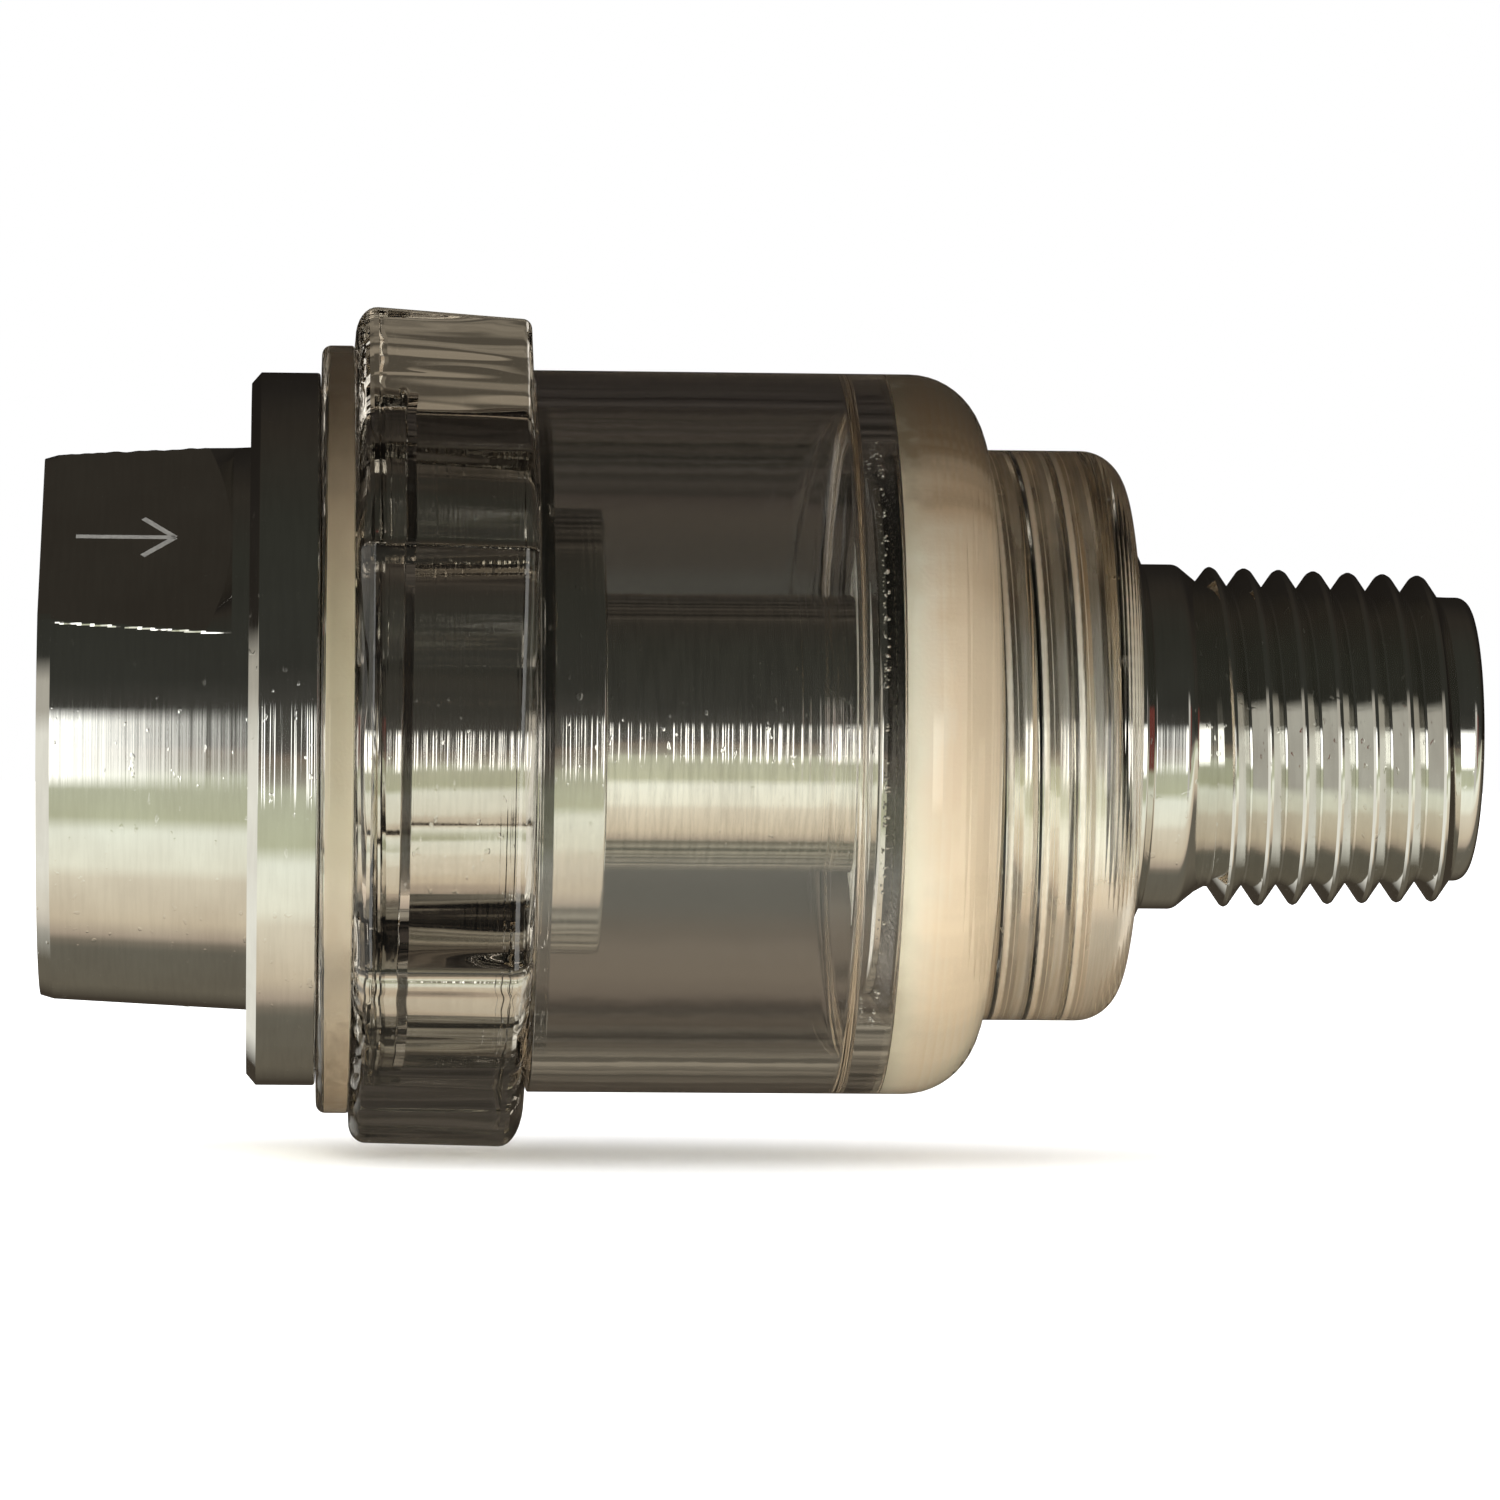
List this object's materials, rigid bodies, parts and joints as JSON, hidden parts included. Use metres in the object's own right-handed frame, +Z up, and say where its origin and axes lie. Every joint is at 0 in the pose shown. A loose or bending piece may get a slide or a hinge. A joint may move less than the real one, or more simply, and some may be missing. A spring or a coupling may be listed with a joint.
{
  "type": "in-line magnetic water filter",
  "caption": "In-line magnetic water filter: plated inlet and outlet fittings, clear screw-on bowl with hexagonal grip, and a loose magnet core inside.",
  "frame": {"origin": "centre of the inlet port's end face", "axes": "+X along the flow from inlet to outlet thread, +Z up, first spanner flat faces up and towards -Y"},
  "size_m": [0.0544, 0.0292, 0.0319],
  "materials": {
    "plated_metal": "bright plated, fine turning marks",
    "clear_plastic": "clear, faintly smoky brown, glossy",
    "cream_seal": "cream, satin",
    "sealant": "cured, glossy, with small bubbles",
    "stainless": "turned, bright",
    "magnet": "nickel plated",
    "white_plastic": "moulded, satin"
  },
  "bodies": {
    "inlet_side": {"inlet_fitting": "plated_metal", "inlet_seal": "cream_seal", "core_guide": "white_plastic", "guide_clip": "stainless"},
    "core": {"core_sleeve": "stainless", "core_nose_cap": "stainless", "core_tail_plug": "stainless", "stack_spring": "stainless", "magnet_1": "magnet", "magnet_2": "magnet", "magnet_3": "magnet", "magnet_4": "magnet", "pole_disc_1": "stainless", "pole_disc_2": "stainless", "pole_disc_3": "stainless", "pole_disc_4": "stainless", "pole_disc_5": "stainless"},
    "bowl_side": {"grip_cap": "clear_plastic", "clear_bowl": "clear_plastic", "outlet_fitting": "plated_metal", "outlet_seal": "cream_seal", "sealant_bead": "sealant", "core_carrier": "white_plastic"}
  },
  "joints": [
    {"name": "bowl_travel", "type": "slide", "parent": "inlet_side", "child": "core", "axis": [1, 0, 0], "range_m": [0, 0.002]},
    {"name": "bowl_turn", "type": "hinge", "parent": "core", "child": "bowl_side", "pos_m": [0, 0, 0], "axis": [1, 0, 0], "range_deg": [0, 720]}
  ],
  "couplings": [
    {"joint": "bowl_turn", "follows": "bowl_travel", "rad_per_m": 6283.2}
  ]
}
